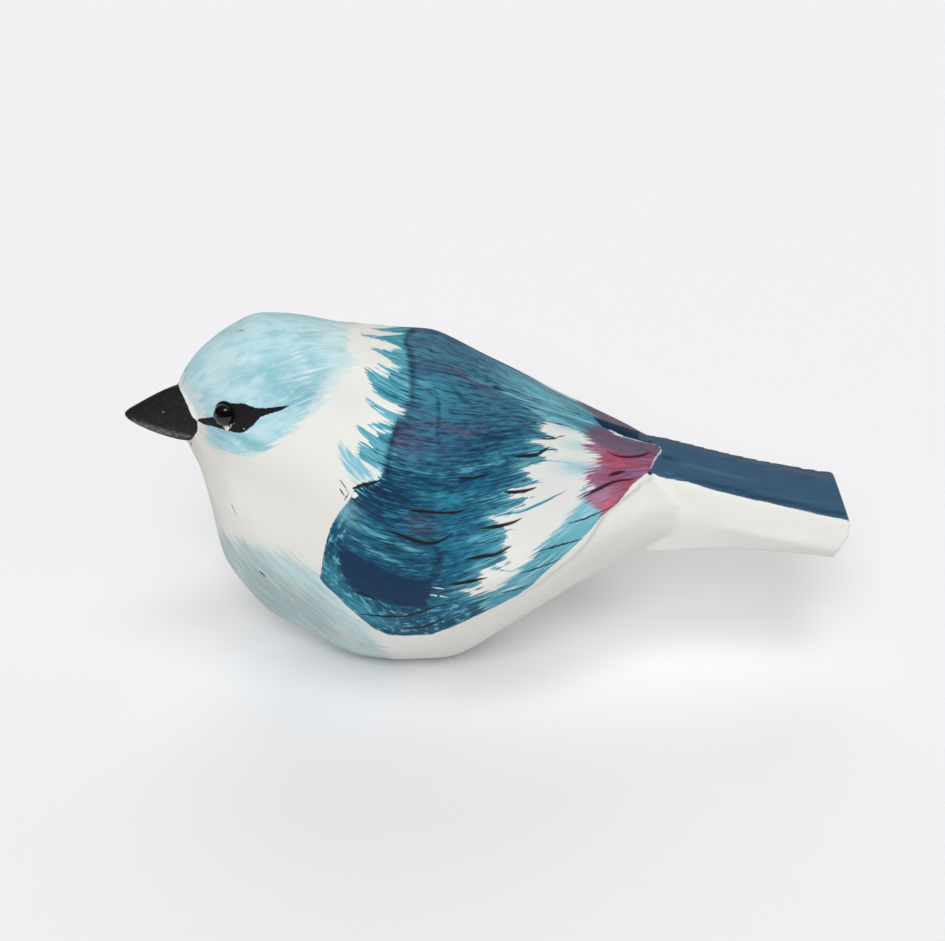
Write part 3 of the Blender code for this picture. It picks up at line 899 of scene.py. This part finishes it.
# For each point a number that stays level along the given lines, and climbs a millimetre each millimetre
# across them
def fitGrain(guides, places, sights):
    spots, runs = [], []
    for guide in guides:
        line = onMap(sights.seen(walked(guide, step=12.0)))
        spots.append((line[1:] + line[:-1]) / 2)
        runs.append(np.diff(line, axis=0))
    spots, runs = np.vstack(spots), np.vstack(runs)
    runs /= np.linalg.norm(runs, axis=1)[:, None] + 1e-9
    normals = np.stack([-runs[:, 1], runs[:, 0]], 1)
    reach, climb = grainFit["reach"], grainFit["climb"]
    centres = np.array([(x, y) for x in np.arange(*grainFit["along"])
                        for y in np.arange(*grainFit["round"])])

    def bumps(where):
        away = where[:, None, :] - centres[None]
        return away, np.exp(-np.einsum("ijk,ijk->ij", away, away) / (2 * reach * reach))

    away, height = bumps(spots)
    slope = -away / reach ** 2 * height[:, :, None]
    rows = [np.einsum("ijk,ik->ij", slope, runs), np.einsum("ijk,ik->ij", slope, normals) * climb]
    steady = grainFit["steady"] * np.eye(len(centres))
    plain = np.zeros((len(spots), 2))
    plain[:, 1] = 1.0
    wanted = [-np.einsum("ij,ij->i", plain, runs), (1 - np.einsum("ij,ij->i", plain, normals)) * climb,
              np.zeros(len(centres))]
    weights = np.linalg.lstsq(np.vstack([*rows, steady]), np.concatenate(wanted), rcond=None)[0]
    level = np.empty(len(places))
    for start in range(0, len(places), grainFit["atOnce"]):
        part = slice(start, start + grainFit["atOnce"])
        level[part] = places[part, 1] + bumps(places[part])[1] @ weights
    return level


# A base tone with its soft patches, at each place
def underTone(base, patches, places, sights):
    under = np.tile(np.array(paintOf(base)), (len(places), 1))
    for patch, pixel, (long, short), turn, strength in patches:
        away = places - onMap(sights.seen([pixel]))[0]
        angle = math.radians(turn)
        u = away[:, 0] * math.cos(angle) + away[:, 1] * math.sin(angle)
        v = away[:, 1] * math.cos(angle) - away[:, 0] * math.sin(angle)
        share = strength * np.exp(-((u / long) ** 2 + (v / short) ** 2))
        under += share[:, None] * (np.array(paintOf(patch)) - under)
    return np.hstack([under, np.ones((len(places), 1))])


def store(mesh, name, values):
    kinds = {1: ("FLOAT", "value"), 3: ("FLOAT_VECTOR", "vector"), 4: ("FLOAT_COLOR", "color")}
    kind, field = kinds[1 if values.ndim == 1 else values.shape[1]]
    layer = mesh.attributes.new(name, kind, "POINT")
    layer.data.foreach_set(field, values.astype(np.float32).ravel())


# Lays the painted edges, strokes, grains and tones on the mesh, and counts each kind of stroke's channels
def layOutPaint(mesh, sights):
    points = cornersOf(mesh)
    folded, far = sights.mirrored(points)
    places = onMap(folded)
    side = np.zeros(len(points))
    side[far] = paintMap["farShift"]
    for name, outline in outlines.items():
        store(mesh, name, insideOf(outline, points if name in unmirrored else folded, sights))
    ring = np.full(len(points), -layout["edgeReach"])
    for name in beads:
        middle, radius = beadOf(name)
        away = np.linalg.norm(points - middle, axis=1)
        ring = np.maximum(ring, (radius + carving["rimReach"] - away) / mm)
    store(mesh, "ring", ring)
    start, length = layout["capRear"]
    store(mesh, "capRear", eased((places[:, 0] - start) / length))
    course = outlines["coat"]["seen"]
    crisp = sights.seen(walked(course[course.index(layout["crispFrom"]):])) / mm
    away, along = lineFollow(crisp, folded / mm)
    least, more = layout["raggedness"]
    start, length = layout["raggedFrom"]
    store(mesh, "ragged", least + more * eased((away - start) / length))
    store(mesh, "rimGrain", np.stack([away, along, side], 1))
    counts = {}
    for name, group in strokes.items():
        channels = strokeChannels(group, points if name in unmirrored else folded, sights)
        counts[name] = len(channels)
        for index, channel in enumerate(channels):
            store(mesh, f"{name}Across{index}", channel["across"])
            store(mesh, f"{name}Half{index}", channel["half"])
    for name, guides in grains.items():
        level = fitGrain(guides, places, sights)
        store(mesh, name, np.stack([level, places[:, 0] + side, places[:, 1]], 1))
    for name, (base, patches) in undertones.items():
        store(mesh, name, underTone(base, patches, onMap(points) if name in unmirrored else places, sights))
    return counts


# For each kind of brush mark: the grain it follows, its size across the grain, along the bird and round it
# in millimetres, and its detail
brushMarks = {
    "hairs": ("coatGrain", (0.17, 4, 4), 2.0),
    "bristles": ("coatGrain", (0.42, 6, 6), 2.0),
    "swathes": ("coatGrain", (1.3, 9, 9), 2.0),
    "mottle": ("coatGrain", (0.8, 1.3, 1.3), 3.0),
    "blots": ("coatGrain", (2.2, 3.2, 3.2), 3.0),
    "cloud": ("coatGrain", (6, 7, 7), 2.0),
    "dabs": ("coatGrain", (0.34, 1.5, 1.5), 2.0),
    "rimDabs": ("rimGrain", (0.6, 1.7, 9), 2.0),
    "rimHairs": ("rimGrain", (0.2, 3.5, 9), 2.0),
    "capHairs": ("capGrain", (0.2, 5, 5), 2.0),
    "capBristles": ("capGrain", (0.55, 7, 7), 2.0),
    "capSwathes": ("capGrain", (1.6, 8, 8), 2.0),
    "capBlots": ("capGrain", (1.8, 2.6, 2.6), 3.0),
}
woodFinish = {
    "roughness": 0.48,
    "dryness": 0.2,  # how much rougher the bristles' marks are
    "shine": 0.14,
    "relief": 0.3,
    "reliefHeight": 0.00008,
    "grit": 0.0005,  # size of the grit in the beak's black
}


class BrushedPaint(Paint):
    def __init__(self, name, counts):
        super().__init__(name)
        self.counts = counts
        places = {grain: self.carried(grain, "Vector") for grain in ("coatGrain", "rimGrain", "capGrain")}
        for mark, (grain, sizes, detail) in brushMarks.items():
            rough = self.noise(places[grain], sizes, detail)
            setattr(self, mark, rough.step(0.34, 0.66))  # spread evenly over 0 to 1
        self.shade = self.hairs * 0.34 + self.bristles * 0.3 + self.dabs * 0.36
        self.streak = (self.hairs - 0.5) * 0.45 + (self.bristles - 0.5) * 0.55
        self.capStreak = (self.capHairs - 0.5) * 0.45 + (self.capBristles - 0.5) * 0.55
        self.coatEdge = self.carried("coat") + self.streak * self.carried("ragged")
        self.coatMask = self.coatEdge.step(-0.08, 0.1)

    # 1 inside a painted edge, made ragged by the brush marks
    def edge(self, name, ragged=0.0, soft=0.08, across=None):
        across = self.streak if across is None else across
        return (self.carried(name) + across * ragged).step(-soft, soft)

    # 1 on the strokes of one kind
    def brushed(self, name, soft=0.05, ragged=0.1):
        best = None
        for index in range(self.counts[name]):
            half, offset = self.carried(f"{name}Half{index}"), self.carried(f"{name}Across{index}")
            mask = (half - abs(offset) + (self.hairs - 0.5) * ragged).step(-soft, soft + 0.03)
            best = mask if best is None else best.atLeast(mask)
        return best


def whitePaint(p):
    return p.layered(
        p.carried("whiteUnder", "Color"),
        ((1.0 - p.cloud) * 0.25, "shadedWhite"),
        (p.bristles * 0.08, "paleWhite"))


def layWash(p, under):
    thin = 0.6 + 0.4 * (p.bristles * 0.6 + p.swathes * 0.6).step(0.2, 0.7)
    wash = p.lit(p.carried("washUnder", "Color"), 0.9 + 0.3 * (p.swathes * 0.6 + p.dabs * 0.4))
    return p.mix(p.edge("wash", 3.0, 1.3) * thin, under, wash)


def layCap(p, under):
    hairs, bristles, swathes = p.capHairs, p.capBristles, p.capSwathes
    rear = p.carried("capRear")
    smears = p.capBlots * 0.5 + swathes * 0.25 + bristles * 0.25
    thin = rear * (1.0 - (p.carried("cap") + p.capStreak * 3.0).step(-0.5, 3.2))
    cap = p.layered(
        p.carried("capUnder", "Color"),
        (smears.step(0.5, 0.9) * 0.45, "capDeep"),
        ((1.0 - smears.step(0.1, 0.5)) * 0.6, "capPale"),
        ((hairs * 0.5 + bristles * 0.35 + swathes * 0.3).step(0.6, 1.0) * (0.14 + 0.4 * rear), "paleWhite"),
        ((1.0 - (hairs * 0.6 + bristles * 0.5).step(0.1, 0.5)) * 0.2, "capDeep"),
        (thin * (hairs * 0.5 + bristles * 0.7).step(0.3, 0.8) * 0.75, p.white))
    return p.mix(p.edge("cap", 2.2, 0.25, p.capStreak), under, cap)


# The coat, with its pale front strip, loose hairs at the strip's tips, and the wing's dabbed rim
def layCoat(p, under):
    shade = p.shade
    fringe = p.layered(
        "blue",
        ((p.bristles * 0.5 + p.hairs * 0.5).step(0.05, 0.45), "teal"),
        ((p.hairs * 0.6 + p.swathes * 0.4).step(0.35, 0.9) * 0.85, "paleTeal"))
    tips = (1.0 - (p.coatEdge + p.dabs * 0.3).step(0.05, 0.9)) * p.carried("ragged").step(0.4, 1.1)
    patchy = p.rimDabs * 0.5 + p.mottle * 0.35 + p.rimHairs * 0.15
    rim = p.layered(
        p.lit(p.carried("coatUnder", "Color"), 0.55 + patchy * 0.9),
        (patchy.step(0.45, 0.8) * 0.5, "glaze"),
        (patchy.step(0.62, 0.85) * 0.6, "skyBlue"))
    glow = (p.carried("panel") + p.streak * 1.6).step(-2.2, 0.3)
    coat = p.layered(
        p.lit(p.carried("coatUnder", "Color"), 0.58 + shade * 0.86),
        (shade.step(0.5, 0.85) * (0.12 + 0.6 * p.blots), "glaze"),
        ((shade * 0.7 + p.swathes * 0.3).step(0.66, 0.9) * 0.6, "teal"),
        ((1.0 - shade.step(0.18, 0.48)) * (0.78 - p.blots * 0.45), "navy"),
        (p.brushed("mauve", 0.5, 0.6) * (0.4 + 0.4 * shade), "mauve"),
        (p.brushed("haze", 0.35, 0.7) * shade.step(0.15, 0.7) * 0.7, p.mix(shade, "teal", "paleTeal")),
        ((p.carried("fringe") + p.streak * 3.0).step(-0.5, 0.5), fringe),
        (tips * p.hairs.step(0.2, 0.8) * 0.8, "skyBlue"),
        (p.edge("rim", 0.5, 0.15), rim),
        (p.edge("navy", 1.5, 0.3) * 0.93, "navy"),
        (glow * (0.15 + 0.75 * shade), "paleTeal"))
    # dark paint closes the gap between the coat and the tail
    gap = (p.carried("tail") + 0.6).step(-0.05, 0.05) * (p.coatEdge + 0.6).step(-0.05, 0.05)
    return p.layered(under, (gap, "tailDark"), (p.coatMask, coat))


# The white panel and the light band below it
def layPanel(p, under):
    fine = p.bristles * 0.5 + p.hairs * 0.5
    band = p.layered(
        p.carried("bandUnder", "Color"),
        (fine.step(0.3, 0.85) * 0.55, "skyBlue"),
        ((p.hairs * 0.5 + p.swathes * 0.5).step(0.7, 0.98) * 0.6, "capPale"))
    return p.layered(
        under,
        (p.edge("panel", 1.3, 0.12), p.white),
        (p.edge("band", 1.6, 0.4) * p.coatMask, band),
        (p.brushed("sky", 0.3, 0.5) * fine.step(0.15, 0.6), "skyBlue"))


# The crimson tip and the navy stripe above it
def layTip(p, under):
    tip = p.layered(
        p.lit(p.carried("tipUnder", "Color"), 0.65 + p.shade * 0.7),
        ((p.dabs * 0.5 + p.blots * 0.5).step(0.42, 0.75) * 0.7, "plum"),
        ((p.hairs * 0.5 + p.mottle * 0.3 + p.swathes * 0.3).step(0.55, 0.9) * 0.4, "coral"),
        ((1.0 - p.bristles * 0.5 - p.swathes * 0.5).step(0.5, 0.85) * 0.45, "lilac"),
        (p.brushed("dusk", 0.5, 0.5) * (0.8 + 0.2 * p.bristles),
         p.lit(paintOf("greyPlum"), 0.75 + 0.5 * p.shade)))
    return p.layered(
        under,
        (p.edge("tip", 2.2, 0.4) * p.coatMask, tip),
        (p.edge("stripe", 0.2, 0.12), "navy"))


def layTail(p, under):
    worn = (1.0 - (p.carried("tail") + p.streak * 0.6).step(0.05, 0.35)) * p.dabs
    tail = p.layered(
        p.lit(p.carried("tailUnder", "Color"), 0.85 + p.shade * 0.4),
        (p.brushed("haze", 0.15, 0.3) * 0.8, "glaze"),
        (worn * 0.6, "tailGrey"))
    return p.mix(p.edge("tail", 0.15), under, tail)


def layStrokes(p, under):
    return p.layered(
        under,
        (p.brushed("hair"), p.mix(p.bristles, "glaze", "paleTeal")),
        (p.brushed("shade", 0.4, 0.6) * (0.95 - p.shade * 0.4), "dark"),
        (p.brushed("plum"), "darkPlum"),
        (p.brushed("chalk") * p.coatMask, "white"),
        # a painted highlight along the carved edge of the wing's tip
        (p.brushed("ledgeHighlight", 0.05, 0.2) * (0.6 + 0.4 * p.dabs), "palest"),
        (p.brushed("ink", 0.06, 0.12) * (0.95 + 0.05 * p.dabs), "ink"))


def layMaskAndBeak(p, under):
    grit = p.noise(p.spot(), [woodFinish["grit"]] * 3, 3.0)
    beak = p.layered(
        "beakBlack",
        (grit.step(0.5, 0.75) * 0.12, "wearAndHighlightGrey"),
        # grey on the beak: wear on its lower cut, and a painted highlight along its upper edge
        (p.brushed("wearAndHighlight", 0.3, 0.3) * (0.3 + 0.7 * grit.step(0.35, 0.6)) * 0.9, "wearAndHighlightGrey"))
    return p.layered(
        under,
        (p.edge("mask", 0.15, 0.05).atLeast(p.edge("ring", 0.0, 0.07)), "ink"),
        (p.edge("lid", 0.1, 0.05), "white"),
        (p.edge("beak", 0.15, 0.05), beak),
        (p.brushed("glint") * 0.65, "white"))


def makePaint(counts):
    p = BrushedPaint("paintedWood", counts)
    colour = p.white = whitePaint(p)
    for lay in (layWash, layCap, layCoat, layPanel, layTip, layTail, layStrokes, layMaskAndBeak):
        colour = lay(p, colour)
    height = (p.hairs * 0.4 + p.bristles * 0.6) * (0.4 + 0.6 * p.coatMask)
    relief = p.node("ShaderNodeBump", {}, {"Height": height, "Strength": woodFinish["relief"],
                                           "Distance": woodFinish["reliefHeight"]}, "Normal")
    p.finish({"Base Color": colour, "Normal": relief, "Specular IOR Level": woodFinish["shine"],
              "Roughness": woodFinish["roughness"] + woodFinish["dryness"] * p.bristles})
    return p.material


# The beads
beadGlass = {
    "dark": (9, 9, 10),
    "brown": (24, 18, 16),
    "cloud": 0.0016,  # size of the brown clouds, in metres
    "roughness": 0.04,
    "dullness": 0.05,  # how much rougher the clouds are
    "shine": 0.5,
}


def makeGlass():
    p = Paint("blackGlass")
    cloud = p.noise(p.spot(), [beadGlass["cloud"]] * 3)
    colour = p.mix(cloud.step(0.35, 0.7), opaque(beadGlass["dark"]), opaque(beadGlass["brown"]))
    p.finish({"Base Color": colour, "Roughness": beadGlass["roughness"] + beadGlass["dullness"] * cloud,
              "Specular IOR Level": beadGlass["shine"]})
    return p.material


print("setting up the studio")
makeCamera()
makeFloor()
makeLights()
print("carving the body")
body = carveBody()
closeSockets(body)
sights = Sights(body.data)
print("refining along painted edges")
courses = [outline["seen"] for outline in outlines.values()]
courses += [course for group in strokes.values() for _, course in group]
refine(body, np.vstack([sights.seen(walked(course, step=3.0)) for course in courses]), reach=0.00058)
refine(body, sights.seen(walked(outlines["mask"]["seen"], step=2.0)), reach=0.0006)
body.data.shade_smooth()
body.data.calc_loop_triangles()
print("triangles", len(body.data.loop_triangles))
print("laying out the paint")
counts = layOutPaint(body.data, sights)
print("mixing the paint, with stroke channels", counts)
body.data.materials.clear()
body.data.materials.append(makePaint(counts))
print("making the beads glass")
glass = makeGlass()
for name in beads:
    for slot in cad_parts[name].material_slots:
        slot.material = glass
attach(body, "root")
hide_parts("bird_body")
